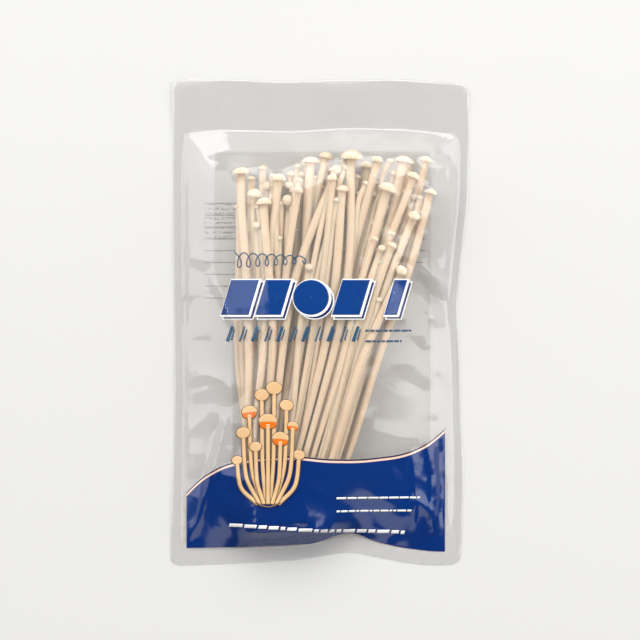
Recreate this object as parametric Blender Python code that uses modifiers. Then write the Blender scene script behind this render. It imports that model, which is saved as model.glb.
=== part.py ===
"""A bunch of enoki mushrooms lying in its sealed clear pack.

Metres, +Z up. The pack lies on its flat back film, centred on the origin. +Y runs along the
stems, from the fused foot of the bunch to the caps. Each mushroom is one curve whose radius
follows its stem and then its cap.
"""

import math

import bmesh
import bpy
import numpy

MM = 0.001

# ---- driving dimensions, in millimetres -------------------------------------------------------
PACK_HALF_LENGTH = 106.9
FILM_THICKNESS = 0.3
GAP = 0.3
SEAL_TOP = 23.0
SEAL_BOTTOM = 6.5

FOOT_CENTRE_X = -13.0
FOOT_CUT_END = -91.0
FOOT_STEM_END = -78.0
FOOT_HALF_WIDTH = 22.0
FOOT_HALF_HEIGHT = 8.0
FOOT_TAPER = 0.84
FOOT_SIDES = 28
FOOT_RIM = 1.0
FOOT_COLUMNS = 12
FOOT_STEM_MARGIN = 2.0
FOOT_SKIN = 1.6

MUSHROOMS = 57
STEM_SEGMENTS = 9
STEM_RADIUS = 1.8
THIN_STEM = 0.62
GIRTH_PER_CAP = 0.13
LARGEST_GIRTH_CAP = 3.6
GIRTH_SPREAD = (0.94, 1.04)
FULL_GIRTH_SHARE = 0.6
BASE_THINNING = 0.62
FLOOR = FILM_THICKNESS + GAP

# The mushrooms below the front ones: how far their tips reach, where their stems pass below
# the tip, the caps' radii, and what is left free at the room's sides.
BACK_TIP_LOW = 50.0
BACK_TIP_SPREAD = 20.0
BACK_WAY_BELOW = 45.0
BACK_CAP_RADII = (2.1, 3.2)
BACK_SHIFT = 2.0
BACK_CAP_MARGIN = 5.0
BACK_WAY_MARGIN = 3.0
BACK_LAYERS = (0.05, 0.45)
GOLDEN_SHARES = (0.618, 0.382)

# The bag's right and left edges run along Y, its bottom and top edges along X.
RIGHT_EDGE_Y = (-106.9, -95.0, -65.0, -42.0, -16.0, 7.0, 19.0, 38.0, 54.0, 84.0, 106.9)
RIGHT_EDGE_X = (61.4, 62.7, 63.2, 62.2, 61.7, 60.2, 61.3, 63.2, 65.0, 65.8, 65.2)
LEFT_EDGE_Y = (-106.9, -96.0, -69.0, -34.0, 0.0, 36.0, 106.9)
LEFT_EDGE_X = (-65.8, -65.8, -64.8, -64.0, -64.3, -64.8, -64.8)
BOTTOM_EDGE_X = (-65.8, -30.0, -8.0, 2.0, 14.0, 24.0, 37.0, 50.0, 65.8)
BOTTOM_EDGE_Y = (-106.9, -105.6, -104.2, -102.4, -100.3, -102.8, -105.5, -106.8, -106.0)
TOP_EDGE_X = (-65.8, -44.0, -12.0, 10.0, 37.0, 65.8)
TOP_EDGE_Y = (106.6, 106.9, 105.6, 106.7, 106.7, 104.4)

# The room that the bunch has inside the bag: centre, half width and height along Y.
ROOM_Y = (-78.0, -61.0, -34.0, 10.0, 45.0, 62.0, 76.0)
ROOM_CENTRE = (-13.0, -12.5, -6.5, -2.0, 6.0, 6.0, 6.0)
ROOM_HALF_WIDTH = (22.0, 26.0, 30.0, 39.5, 45.0, 46.5, 46.5)
ROOM_HEIGHT = (16.5, 19.5, 21.5, 21.5, 20.5, 18.5, 14.5)

# The mushrooms on the front of the bunch: cap x, cap y, cap radius, a point x, y that the stem
# passes, how far up in the bunch it lies (0 to 1), and how far its cap is turned up (0 to 1).
FRONT = (
    (-33.6, 66.3, 3.7, -29.2, 33.8, 0.8, 0.05),
    (-17.8, 63.2, 3.1, -20.5, 46.0, 0.9, 0.1),
    (-23.5, 59.7, 2.5, -21.0, 38.0, 0.4, 0.5),
    (-28.8, 56.2, 2.9, -27.0, 30.0, 0.5, 0.3),
    (-25.2, 52.6, 3.5, -19.0, 28.0, 1.0, 0.1),
    (-13.8, 60.0, 2.2, -15.0, 40.0, 0.3, 0.4),
    (-14.3, 53.0, 2.6, -13.0, 30.0, 0.5, 0.9),
    (-9.0, 57.6, 2.2, -13.5, 35.0, 0.8, 0.2),
    (-7.7, 65.0, 1.8, -9.0, 40.0, 0.3, 0.3),
    (-4.2, 71.1, 3.6, -3.7, 36.0, 0.7, 0.0),
    (2.6, 73.2, 3.2, -1.5, 58.0, 0.5, 0.0),
    (5.2, 62.8, 2.5, 4.0, 36.0, 0.9, 0.1),
    (12.5, 72.5, 5.0, 20.6, 38.2, 1.0, 0.1),
    (8.2, 67.0, 2.3, -12.0, 40.0, 1.0, 0.7),
    (9.4, 58.4, 2.8, 10.3, 32.0, 1.0, 0.15),
    (25.0, 71.1, 2.6, 20.5, 57.0, 0.7, 0.1),
    (34.9, 71.6, 3.6, 34.5, 52.0, 0.6, 0.0),
    (41.0, 64.1, 2.9, 31.4, 43.9, 0.9, 0.1),
    (32.0, 65.6, 2.0, 31.0, 48.0, 0.3, 0.3),
    (30.0, 58.8, 4.1, 26.0, 38.0, 0.8, 0.1),
    (23.3, 55.6, 2.4, 20.0, 36.0, 0.5, 0.2),
    (29.0, 51.0, 2.0, 24.5, 33.0, 0.6, 0.3),
    (39.0, 52.8, 2.5, 33.0, 36.0, 0.5, 0.6),
    (41.2, 46.6, 2.8, 34.0, 26.0, 1.0, 0.4),
    (46.0, 71.6, 3.0, 41.0, 45.0, 0.3, 0.0),
    (23.6, 36.6, 1.9, 19.5, 18.0, 0.9, 0.2),
    (27.0, 32.4, 1.8, 21.0, 14.0, 1.0, 0.5),
    (31.2, 33.8, 2.2, 26.0, 16.0, 0.9, 0.2),
    (36.4, 37.0, 2.2, 30.0, 18.0, 0.7, 0.4),
    (33.6, 23.7, 2.5, 26.0, 8.0, 0.9, 0.6),
    (48.0, 56.5, 2.8, 39.5, 26.0, 0.6, 0.0),
    (-27.6, 42.4, 1.9, -26.0, 24.0, 0.6, 0.5),
    (-5.2, 24.2, 1.9, -7.0, 6.0, 0.9, 0.5),
)

# Relaxation of the bunch, which lays the mushrooms side by side without touching.
STEPS = 500
SETTLING_STEPS = 150
FIRST_GIRTH = 0.35
GROWING_SHARE = 0.6
PUSH = 0.5
TAUTNESS = 0.05
STIFFNESS = 0.2
END_STIFFNESS = 0.1
CAP_PULL = 0.06
WAY_PULL = 0.35
HOME_PULL = 0.05
LAYER_PULL = 0.01
LAYER_MARGIN = 2.0
CROWN_REACH = 0.97
CLEARANCE = 0.34
NEIGHBOUR_REACH = 3.0

FILM_CELLS_X = 16
BACK_CELLS_X = 8
BAG_ROWS = 24
HEADER_ROWS = 2
MEMBRANE_STEPS = 400
FILM_CLEARANCE = 0.35

# Each mushroom's sides are turned about its line by SIDE_TURN radians more than the last one's.
SIDE_TURN = 0.23

# The neck below the gills is straight; its length is a share of the cap's radius. Cap outline:
# height above the gills and radius, as shares of the cap's radius.
NECK_LENGTH = 0.9
CAP_MIDDLE = 0.45
CAP_PROFILE = ((0.05, 0.90), (0.24, 0.96), (0.56, 0.78), (0.80, 0.44), (0.89, 0.14))

FLESH_COLOUR = (0.80, 0.71, 0.58)
FOOT_COLOUR = (0.62, 0.50, 0.36)
FILM_COLOUR = (0.80, 0.79, 0.78)


def remove_everything():
    for obj in list(bpy.data.objects):
        bpy.data.objects.remove(obj, do_unlink=True)


def make_material(name, colour, roughness, alpha=1.0):
    material = bpy.data.materials.new(name)
    material.use_nodes = True
    shader = material.node_tree.nodes["Principled BSDF"]
    shader.inputs["Base Color"].default_value = (*colour, 1.0)
    shader.inputs["Roughness"].default_value = roughness
    shader.inputs["Metallic"].default_value = 0.0
    shader.inputs["Alpha"].default_value = alpha
    return material


# ---- the bunch: where each mushroom lies ------------------------------------------------------
def front_mushrooms():
    """The mushrooms seen from the front. A stem ends at its gills, below the cap's middle."""
    rows = []
    for cap_x, cap_y, cap_radius, way_x, way_y, layer, turn in FRONT:
        gills_y = cap_y - CAP_MIDDLE * cap_radius * (1.0 - turn)
        rows.append(dict(cap=(cap_x, gills_y), radius=cap_radius, way=(way_x, way_y),
                         layer=layer, turn=turn))
    return rows


def back_mushrooms(count, random):
    """The mushrooms below them, spread over the bunch's width in a few lengths."""
    rows = []
    for number in range(count):
        share = (number + 0.5) / count
        tip = BACK_TIP_LOW + BACK_TIP_SPREAD * ((number * GOLDEN_SHARES[0]) % 1.0)
        centre = numpy.interp(tip, ROOM_Y, ROOM_CENTRE)
        half = numpy.interp(tip, ROOM_Y, ROOM_HALF_WIDTH) - BACK_CAP_MARGIN
        cap_x = centre - half + 2.0 * half * share + random.uniform(-BACK_SHIFT, BACK_SHIFT)
        way_y = tip - BACK_WAY_BELOW
        way_half = numpy.interp(way_y, ROOM_Y, ROOM_HALF_WIDTH) - BACK_WAY_MARGIN
        way_x = numpy.interp(way_y, ROOM_Y, ROOM_CENTRE) - way_half + 2.0 * way_half * share
        layer = BACK_LAYERS[0] + BACK_LAYERS[1] * ((number * GOLDEN_SHARES[1]) % 1.0)
        rows.append(dict(cap=(cap_x, tip), radius=random.uniform(*BACK_CAP_RADII),
                         way=(way_x, way_y), layer=layer, turn=0.0))
    return rows


def foot_places(rows):
    """Spread the stems' lower ends over the foot's face, each below its own way point."""
    order = sorted(range(len(rows)), key=lambda i: rows[i]["way"][0] - 0.3 * rows[i]["way"][1])
    places = [None] * len(rows)
    per_column = math.ceil(len(rows) / FOOT_COLUMNS)
    for column in range(FOOT_COLUMNS):
        members = order[column * per_column:(column + 1) * per_column]
        members.sort(key=lambda i: rows[i]["layer"])
        across = (column + 0.5) / FOOT_COLUMNS * 2.0 - 1.0
        reach = FOOT_HALF_HEIGHT * math.sqrt(1.0 - (0.9 * across) ** 2) - FOOT_SKIN
        for place, member in enumerate(members):
            up = (place + 0.5) / len(members) * 2.0 - 1.0
            x = FOOT_CENTRE_X + across * (FOOT_HALF_WIDTH - FOOT_STEM_MARGIN)
            places[member] = (x, FOOT_STEM_END + GAP, FLOOR + FOOT_HALF_HEIGHT + up * reach)
    return places


def first_paths(rows, places):
    """Smooth first paths from the foot through each way point to the cap."""
    paths = numpy.zeros((len(rows), STEM_SEGMENTS + 1, 3))
    for i, row in enumerate(rows):
        start = places[i]
        height = numpy.interp(row["cap"][1], ROOM_Y, ROOM_HEIGHT)
        cap_z = FLOOR + row["radius"] + (height - 2.0 * row["radius"]) * row["layer"]
        length = row["cap"][1] - start[1]
        knee = (row["way"][1] - start[1]) / length
        for k in range(STEM_SEGMENTS + 1):
            share = k / STEM_SEGMENTS
            y = start[1] + length * share
            if share < knee:
                part = share / knee
                x = start[0] + (row["way"][0] - start[0]) * part
            else:
                part = (share - knee) / (1.0 - knee)
                x = row["way"][0] + (row["cap"][0] - row["way"][0]) * part
            paths[i, k] = (x, y, start[2] + (cap_z - start[2]) * share)
    return paths


def stem_radii(rows, random):
    """Stem radius at each node: thin where it leaves the foot, full from its middle on."""
    radii = numpy.zeros((len(rows), STEM_SEGMENTS + 1))
    for i, row in enumerate(rows):
        girth = THIN_STEM + GIRTH_PER_CAP * min(row["radius"], LARGEST_GIRTH_CAP)
        full = STEM_RADIUS * girth * random.uniform(*GIRTH_SPREAD)
        for k in range(STEM_SEGMENTS + 1):
            share = min(k / STEM_SEGMENTS / FULL_GIRTH_SHARE, 1.0)
            share = share * share * (3.0 - 2.0 * share)
            radii[i, k] = full * (BASE_THINNING + (1.0 - BASE_THINNING) * share)
    return radii


def dot(a, b):
    return a[..., 0] * b[..., 0] + a[..., 1] * b[..., 1] + a[..., 2] * b[..., 2]


def closest_shares(p0, p1, q0, q1):
    """Where two segments come closest, as a share of each segment's length."""
    along_p = p1 - p0
    along_q = q1 - q0
    between = p0 - q0
    pp = dot(along_p, along_p) + 1e-9
    qq = dot(along_q, along_q) + 1e-9
    pq = dot(along_p, along_q)
    pb = dot(along_p, between)
    qb = dot(along_q, between)
    spread = pp * qq - pq * pq
    s = numpy.clip((pq * qb - qq * pb) / numpy.maximum(spread, 1e-9), 0.0, 1.0)
    t = numpy.clip((pq * s + qb) / qq, 0.0, 1.0)
    s = numpy.clip((pq * t - pb) / pp, 0.0, 1.0)
    return s, t


def links(paths, radii, caps):
    """Every stem segment and every cap, as two node indices, two radii and an owner."""
    count, nodes = radii.shape
    first = []
    last = []
    sizes = []
    owner = []
    for i in range(count):
        for k in range(nodes - 1):
            first.append(i * nodes + k)
            last.append(i * nodes + k + 1)
            sizes.append(max(radii[i, k], radii[i, k + 1]))
            owner.append(i)
        first.append(i * nodes + nodes - 1)
        last.append(i * nodes + nodes - 1)
        sizes.append(caps[i])
        owner.append(i)
    return numpy.array(first), numpy.array(last), numpy.array(sizes), numpy.array(owner)


def near_pairs(points, first, last, sizes, owner):
    """Pairs of links of two mushrooms that are near enough to touch soon."""
    middle = (points[first] + points[last]) / 2.0
    half = points[last] - points[first]
    half = numpy.sqrt(dot(half, half)) / 2.0
    one, other = numpy.triu_indices(len(first), 1)
    keep = owner[one] != owner[other]
    one = one[keep]
    other = other[keep]
    apart = middle[one] - middle[other]
    reach = half[one] + half[other] + sizes[one] + sizes[other] + NEIGHBOUR_REACH
    keep = dot(apart, apart) < reach * reach
    return one[keep], other[keep]


def push_apart(points, first, last, sizes, one, other):
    """Move the nodes of links that are too close. Returns the deepest overlap."""
    s, t = closest_shares(points[first[one]], points[last[one]],
                          points[first[other]], points[last[other]])
    p = points[first[one]] + (points[last[one]] - points[first[one]]) * s[:, None]
    q = points[first[other]] + (points[last[other]] - points[first[other]]) * t[:, None]
    apart = p - q
    distance = numpy.sqrt(dot(apart, apart)) + 1e-6
    lack = sizes[one] + sizes[other] + CLEARANCE - distance
    touching = lack > 0.0
    if not touching.any():
        return 0.0
    move = (apart / distance[:, None] * lack[:, None] * PUSH)[touching]
    total = numpy.zeros_like(points)
    hits = numpy.zeros(len(points))
    shares = ((first[one], 1.0 - s, 1.0), (last[one], s, 1.0),
              (first[other], 1.0 - t, -1.0), (last[other], t, -1.0))
    for index, share, sign in shares:
        numpy.add.at(total, index[touching], move * (share[touching] * sign)[:, None])
        numpy.add.at(hits, index[touching], share[touching])
    points += total / numpy.maximum(numpy.sqrt(hits), 1.0)[:, None]
    return float(lack.max())


def keep_in_room(points, sizes):
    """Bring nodes back under the front film's crown and above the flat back film."""
    centre = numpy.interp(points[:, 1], ROOM_Y, ROOM_CENTRE)
    half = numpy.interp(points[:, 1], ROOM_Y, ROOM_HALF_WIDTH) - sizes
    height = numpy.interp(points[:, 1], ROOM_Y, ROOM_HEIGHT)
    across = numpy.clip((points[:, 0] - centre) / half, -CROWN_REACH, CROWN_REACH)
    crown = 0.5 + 0.5 * numpy.sqrt(numpy.sqrt(1.0 - across ** 4))
    points[:, 0] = centre + across * half
    points[:, 2] = numpy.minimum(points[:, 2], FLOOR + sizes + (height - 2.0 * sizes) * crown)
    points[:, 2] = numpy.maximum(points[:, 2], FLOOR + sizes)


def lay_out(rows, random):
    """Relax the bunch until its mushrooms lie side by side with a small gap."""
    places = foot_places(rows)
    paths = first_paths(rows, places)
    radii = stem_radii(rows, random)
    caps = numpy.array([row["radius"] for row in rows])
    count, nodes = radii.shape
    first, last, sizes, owner = links(paths, radii, caps)
    node_sizes = radii.copy()
    node_sizes[:, -1] = caps
    node_sizes = node_sizes.reshape(-1)
    points = paths.reshape(-1, 3)
    cap_goal = numpy.array([row["cap"] for row in rows])
    way_goal = numpy.array([row["way"] for row in rows])
    home = numpy.array(places)
    layers = numpy.array([row["layer"] for row in rows])
    for step in range(STEPS + SETTLING_STEPS):
        grid = points.reshape(count, nodes, 3)
        if step < STEPS:
            ease = 1.0 - step / STEPS
            bend = (grid[:, :-2] + grid[:, 2:]) / 2.0 - grid[:, 1:-1]
            unbend = bend.copy()
            unbend[:, 1:-1] -= (bend[:, :-2] + bend[:, 2:]) / 2.0
            grid[:, 1:-1] += bend * TAUTNESS + unbend * STIFFNESS
            straight = 2.0 * grid[:, -2] - grid[:, -3]
            grid[:, -1] += (straight - grid[:, -1]) * END_STIFFNESS
            grid[:, -1, :2] += (cap_goal - grid[:, -1, :2]) * CAP_PULL
            grid[:, 0] += (home - grid[:, 0]) * HOME_PULL * ease
            for i in range(count):
                nearest = numpy.argmin(numpy.abs(grid[i, :, 1] - way_goal[i, 1]))
                grid[i, nearest, 0] += (way_goal[i, 0] - grid[i, nearest, 0]) * WAY_PULL * ease
            height = numpy.interp(grid[:, :, 1], ROOM_Y, ROOM_HEIGHT)
            level = FLOOR + LAYER_MARGIN + (height - 2.0 * LAYER_MARGIN) * layers[:, None]
            grid[:, 2:, 2] += ((level - grid[:, :, 2]) * LAYER_PULL * ease)[:, 2:]
        grid[:, 0, 1] = FOOT_STEM_END + GAP
        if step % 10 == 0:
            one, other = near_pairs(points, first, last, sizes, owner)
        grown = min(1.0, FIRST_GIRTH + (1.0 - FIRST_GIRTH) * step / (GROWING_SHARE * STEPS))
        deepest = push_apart(points, first, last, sizes * grown, one, other)
        keep_in_room(points, node_sizes)
        grid[:, 0, 1] = FOOT_STEM_END + GAP
    print("deepest lack of clearance, mm:", round(deepest, 3))
    return points.reshape(count, nodes, 3), radii, caps


def cap_axis(path, turn):
    """The way that a cap faces: along its stem, turned up towards +Z by its share."""
    along = path[-1] - path[-2]
    along = along / math.sqrt(dot(along, along))
    axis = along * (1.0 - turn) + numpy.array((0.0, 0.0, 1.0)) * turn
    return axis / math.sqrt(dot(axis, axis))


def add_mushroom(number, path, radii, cap_radius, turn, material, collection):
    """One curve from the foot to the top of the cap; its radius is the stem's, then the cap's."""
    curve = bpy.data.curves.new(f"mushroom_{number:02d}", "CURVE")
    curve.dimensions = "3D"
    curve.bevel_depth = MM
    curve.bevel_resolution = 1
    curve.use_fill_caps = True
    axis = cap_axis(path, turn)
    neck = path[-1] - axis * cap_radius * NECK_LENGTH
    points = list(zip(path[:-1], radii[:-1])) + [(neck, radii[-1]), (path[-1], radii[-1])]
    points += [(path[-1] + axis * cap_radius * rise, cap_radius * wide)
               for rise, wide in CAP_PROFILE]
    spline = curve.splines.new("POLY")
    spline.points.add(len(points) - 1)
    for target, (place, radius) in zip(spline.points, points):
        target.co = (place[0] * MM, place[1] * MM, place[2] * MM, 1.0)
        target.radius = radius
        target.tilt = number * SIDE_TURN
    spline.use_smooth = True
    obj = bpy.data.objects.new(curve.name, curve)
    obj.data.materials.append(material)
    collection.objects.link(obj)


# ---- the foot ---------------------------------------------------------------------------------
def add_foot(material, collection):
    """The fused foot: a short oval trunk with a rounded rim, lying along Y."""
    mesh = bpy.data.meshes.new("clump_base")
    shape = bmesh.new()
    bmesh.ops.create_cone(shape, cap_ends=True, segments=FOOT_SIDES,
                          radius1=FOOT_HALF_WIDTH * FOOT_TAPER * MM,
                          radius2=FOOT_HALF_WIDTH * MM,
                          depth=(FOOT_STEM_END - FOOT_CUT_END) * MM)
    for vertex in shape.verts:
        x, y, z = vertex.co
        vertex.co = (x, z, -y * FOOT_HALF_HEIGHT / FOOT_HALF_WIDTH)
    bmesh.ops.recalc_face_normals(shape, faces=shape.faces)
    shape.to_mesh(mesh)
    shape.free()
    foot = bpy.data.objects.new("clump_base", mesh)
    foot.location = (FOOT_CENTRE_X * MM, (FOOT_CUT_END + FOOT_STEM_END) / 2.0 * MM,
                     (FLOOR + FOOT_HALF_HEIGHT) * MM)
    mesh.materials.append(material)
    collection.objects.link(foot)
    rounding = foot.modifiers.new("rounded rim", "BEVEL")
    rounding.width = FOOT_RIM * MM
    rounding.segments = 2
    rounding.limit_method = "ANGLE"
    return foot


# ---- the bag ----------------------------------------------------------------------------------
def outline_point(u, v):
    """A point of the flat bag at shares u, v of its width and length, in millimetres."""
    y = -PACK_HALF_LENGTH + 2.0 * PACK_HALF_LENGTH * v
    left = numpy.interp(y, LEFT_EDGE_Y, LEFT_EDGE_X)
    right = numpy.interp(y, RIGHT_EDGE_Y, RIGHT_EDGE_X)
    x = left + (right - left) * u
    low = numpy.interp(x, BOTTOM_EDGE_X, BOTTOM_EDGE_Y)
    high = numpy.interp(x, TOP_EDGE_X, TOP_EDGE_Y)
    return x, low + (high - low) * v


def row_shares():
    """Where the film's rows lie, as shares of its length: close together over the bunch."""
    low = SEAL_BOTTOM / (2.0 * PACK_HALF_LENGTH)
    high = 1.0 - SEAL_TOP / (2.0 * PACK_HALF_LENGTH)
    shares = [0.0]
    shares += [low + (high - low) * row / BAG_ROWS for row in range(BAG_ROWS + 1)]
    shares += [high + (1.0 - high) * (row + 1) / HEADER_ROWS for row in range(HEADER_ROWS)]
    return shares


def contents_points(paths, radii, caps):
    """Points on top of the stems, the caps and the foot: x, y and height."""
    found = []
    for path, path_radii, cap_radius in zip(paths, radii, caps):
        for k in range(len(path) - 1):
            for share in numpy.arange(0.0, 1.0, 0.1):
                x, y, z = path[k] + (path[k + 1] - path[k]) * share
                radius = max(path_radii[k], path_radii[k + 1])
                found += [(x + side * radius, y, z + radius) for side in (-1.0, 0.0, 1.0)]
        x, y, z = path[-1]
        for side_x in (-0.9, 0.0, 0.9):
            for side_y in (-0.9, 0.0, 0.9):
                found.append((x + side_x * cap_radius, y + side_y * cap_radius, z + cap_radius))
    for across in numpy.arange(-1.0, 1.01, 0.1):
        for along in numpy.arange(0.0, 1.01, 0.2):
            girth = FOOT_TAPER + (1.0 - FOOT_TAPER) * along
            rise = girth * FOOT_HALF_HEIGHT * math.sqrt(max(0.0, 1.0 - across * across))
            found.append((FOOT_CENTRE_X + across * girth * FOOT_HALF_WIDTH,
                          FOOT_CUT_END + (FOOT_STEM_END - FOOT_CUT_END) * along,
                          FLOOR + FOOT_HALF_HEIGHT + rise))
    return found


def film_heights(contents):
    """The height of the front film's inside at each grid point, drawn taut over the bunch."""
    columns = FILM_CELLS_X + 1
    shares = row_shares()
    lines = len(shares)
    lowest = FILM_THICKNESS + GAP
    under = numpy.full((columns, lines), lowest)
    for x, y, z in contents:
        v = (y + PACK_HALF_LENGTH) / (2.0 * PACK_HALF_LENGTH)
        for _ in range(3):
            edge_low = outline_point(0.0, v)
            edge_high = outline_point(1.0, v)
            u = (x - edge_low[0]) / (edge_high[0] - edge_low[0])
            low = outline_point(u, 0.0)[1]
            high = outline_point(u, 1.0)[1]
            v = (y - low) / (high - low)
        i = int(u * FILM_CELLS_X)
        j = int(numpy.searchsorted(shares, v)) - 1
        block = under[i:i + 2, j:j + 2]
        numpy.maximum(block, z + FILM_CLEARANCE, out=block)
    heights = under.copy()
    free = numpy.zeros((columns, lines), bool)
    free[1:-1, 2:-HEADER_ROWS - 1] = True
    for _ in range(MEMBRANE_STEPS):
        spread = heights.copy()
        spread[1:-1, 1:-1] = (heights[:-2, 1:-1] + heights[2:, 1:-1]
                              + heights[1:-1, :-2] + heights[1:-1, 2:]) / 4.0
        heights = numpy.where(free, numpy.maximum(under, spread), heights)
    return heights


def add_film(name, cells_x, heights, material, collection):
    """A film: a grid laid to the bag's outline and heights, and given its thickness upwards."""
    mesh = bpy.data.meshes.new(name)
    shape = bmesh.new()
    shares = row_shares()
    cells_y = len(shares) - 1
    bmesh.ops.create_grid(shape, x_segments=cells_x, y_segments=cells_y, size=0.5)
    for vertex in shape.verts:
        column = round((vertex.co.x + 0.5) * cells_x)
        row = round((vertex.co.y + 0.5) * cells_y)
        x, y = outline_point(column / cells_x, shares[row])
        vertex.co = (x * MM, y * MM, heights[column][row] * MM)
    shape.to_mesh(mesh)
    shape.free()
    film = bpy.data.objects.new(name, mesh)
    mesh.materials.append(material)
    collection.objects.link(film)
    wall = film.modifiers.new("film thickness", "SOLIDIFY")
    wall.thickness = FILM_THICKNESS * MM
    wall.offset = 1.0
    return film


def main():
    remove_everything()
    collection = bpy.data.collections.new("enoki_mushroom_bunch")
    bpy.context.scene.collection.children.link(collection)
    flesh = make_material("mushroom_flesh", FLESH_COLOUR, 0.55)
    fused = make_material("fused_foot", FOOT_COLOUR, 0.8)
    clear = make_material("clear_film", FILM_COLOUR, 0.15, alpha=0.35)

    random = numpy.random.default_rng(11)
    rows = front_mushrooms()
    rows += back_mushrooms(MUSHROOMS - len(rows), random)
    paths, radii, caps = lay_out(rows, random)
    for i, row in enumerate(rows):
        add_mushroom(i + 1, paths[i], radii[i], caps[i], row["turn"], flesh, collection)
    add_foot(fused, collection)

    flat = numpy.zeros((BACK_CELLS_X + 1, len(row_shares())))
    add_film("back_film", BACK_CELLS_X, flat, clear, collection)
    heights = film_heights(contents_points(paths, radii, caps))
    add_film("front_film", FILM_CELLS_X, heights, clear, collection)


main()
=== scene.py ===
# %% [markdown]
# # A bunch of enoki mushrooms in its clear bag
# Enoki grow packed together from one foot: long thin cream stems, each with a small round cap.
# This bunch lies in a flat heat-sealed bag of clear printed film. The script keeps the frame
# that the solids give, makes each mushroom anew round its own centre line, then the fused foot,
# and last the two films, the front one drawn down over everything that lies inside it.

# %% Load the frame
import math

import bmesh
import bpy
import numpy
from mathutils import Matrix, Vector
from mathutils.bvhtree import BVHTree


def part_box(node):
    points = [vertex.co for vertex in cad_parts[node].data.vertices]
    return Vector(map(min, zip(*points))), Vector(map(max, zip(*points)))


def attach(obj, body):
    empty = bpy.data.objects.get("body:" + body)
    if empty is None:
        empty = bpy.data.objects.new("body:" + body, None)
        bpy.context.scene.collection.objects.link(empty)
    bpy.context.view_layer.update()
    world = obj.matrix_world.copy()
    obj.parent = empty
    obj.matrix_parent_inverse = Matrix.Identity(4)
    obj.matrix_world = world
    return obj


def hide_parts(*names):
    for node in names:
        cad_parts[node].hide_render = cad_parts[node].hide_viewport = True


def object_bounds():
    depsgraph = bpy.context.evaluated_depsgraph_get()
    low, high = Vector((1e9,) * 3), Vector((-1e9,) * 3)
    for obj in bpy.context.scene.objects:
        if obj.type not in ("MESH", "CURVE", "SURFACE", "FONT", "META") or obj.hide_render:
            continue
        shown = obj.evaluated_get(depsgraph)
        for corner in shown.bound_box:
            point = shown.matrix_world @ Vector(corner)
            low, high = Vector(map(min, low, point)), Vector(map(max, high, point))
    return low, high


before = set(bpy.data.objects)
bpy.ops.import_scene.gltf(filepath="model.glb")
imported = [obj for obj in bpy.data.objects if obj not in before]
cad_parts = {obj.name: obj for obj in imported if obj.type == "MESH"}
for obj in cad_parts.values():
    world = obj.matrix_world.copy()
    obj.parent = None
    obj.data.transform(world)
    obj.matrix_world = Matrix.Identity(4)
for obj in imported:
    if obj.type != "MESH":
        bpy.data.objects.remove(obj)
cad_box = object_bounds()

MM = 0.001
low, high = cad_box
print("the pack measures", [round(side / MM, 1) for side in (high - low)], "mm")

# %% [markdown]
# ## Camera
# The pack lies flat and is looked at from straight above, from far off with a long lens, so
# that its sides stay parallel. The header is at the top of the picture.

# %% Camera
CAMERA_HEIGHT = 1.4
VIEW_WIDTH = 0.2812
SENSOR = 36.0
VIEW_CENTRE = (0.0, 0.0010)

bpy.ops.object.camera_add(location=(*VIEW_CENTRE, CAMERA_HEIGHT), rotation=(0.0, 0.0, 0.0))
camera = bpy.context.object
camera.data.sensor_width = SENSOR
camera.data.lens = SENSOR * CAMERA_HEIGHT / VIEW_WIDTH
bpy.context.scene.camera = camera
bpy.context.scene.view_settings.view_transform = "Standard"
print("lens", round(camera.data.lens, 1), "mm")

# %% [markdown]
# ## Helpers
# Operators act on whatever is selected, so every new piece starts from an empty selection. A
# finished piece rides on the one body, takes the finish it is given, and may stand in for a
# node of the frame.

# %% Helpers for objects
def deselect():
    if bpy.context.object and bpy.context.object.mode != "OBJECT":
        bpy.ops.object.mode_set(mode="OBJECT")
    bpy.ops.object.select_all(action="DESELECT")


def pick(obj):
    deselect()
    obj.select_set(True)
    bpy.context.view_layer.objects.active = obj


def new_object(name, data):
    obj = bpy.data.objects.new(name, data)
    bpy.context.scene.collection.objects.link(obj)
    return obj


def apply_modifiers(obj):
    pick(obj)
    for modifier in list(obj.modifiers):
        bpy.ops.object.modifier_apply(modifier=modifier.name)


def thicken(obj, thickness):
    """Gives a sheet its own thickness upwards."""
    wall = obj.modifiers.new("thickness", "SOLIDIFY")
    wall.thickness = thickness
    wall.offset = 1.0
    apply_modifiers(obj)
    obj.data.shade_smooth()


def hand_over(obj, slot, material, *nodes):
    obj.data.materials.clear()
    obj.data.materials.append(material)
    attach(obj, "root")
    if nodes:
        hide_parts(*nodes)


def places_of(mesh):
    flat = numpy.zeros(len(mesh.vertices) * 3)
    mesh.vertices.foreach_get("co", flat)
    return flat.reshape(-1, 3)


def put_places(mesh, places):
    mesh.vertices.foreach_set("co", places.reshape(-1))
    mesh.update()


# %% [markdown]
# ## Helpers for materials
# A material is a small graph of nodes. These helpers place a node, wire a sum, a noise or a bump, so
# that the materials further down read as what they are: a colour, a grain and a gloss.

# %% Helpers for nodes
def wire(tree, node, inputs):
    """Links or sets a node's inputs, each by its name or its place."""
    for name, value in inputs.items():
        if isinstance(value, bpy.types.NodeSocket):
            tree.links.new(value, node.inputs[name])
        else:
            node.inputs[name].default_value = value


def add_node(tree, kind, inputs=None, **settings):
    node = tree.nodes.new(kind)
    for name, value in settings.items():
        setattr(node, name, value)
    wire(tree, node, inputs or {})
    return node


def calc(tree, operation, *values, clamp=False):
    node = add_node(tree, "ShaderNodeMath", dict(enumerate(values)), operation=operation,
                    use_clamp=clamp)
    return node.outputs[0]


def blend_colours(tree, share, first, second, mode="MIX"):
    node = add_node(tree, "ShaderNodeMix", {0: share, 6: first, 7: second}, data_type="RGBA",
                    blend_type=mode)
    return node.outputs[2]


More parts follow.
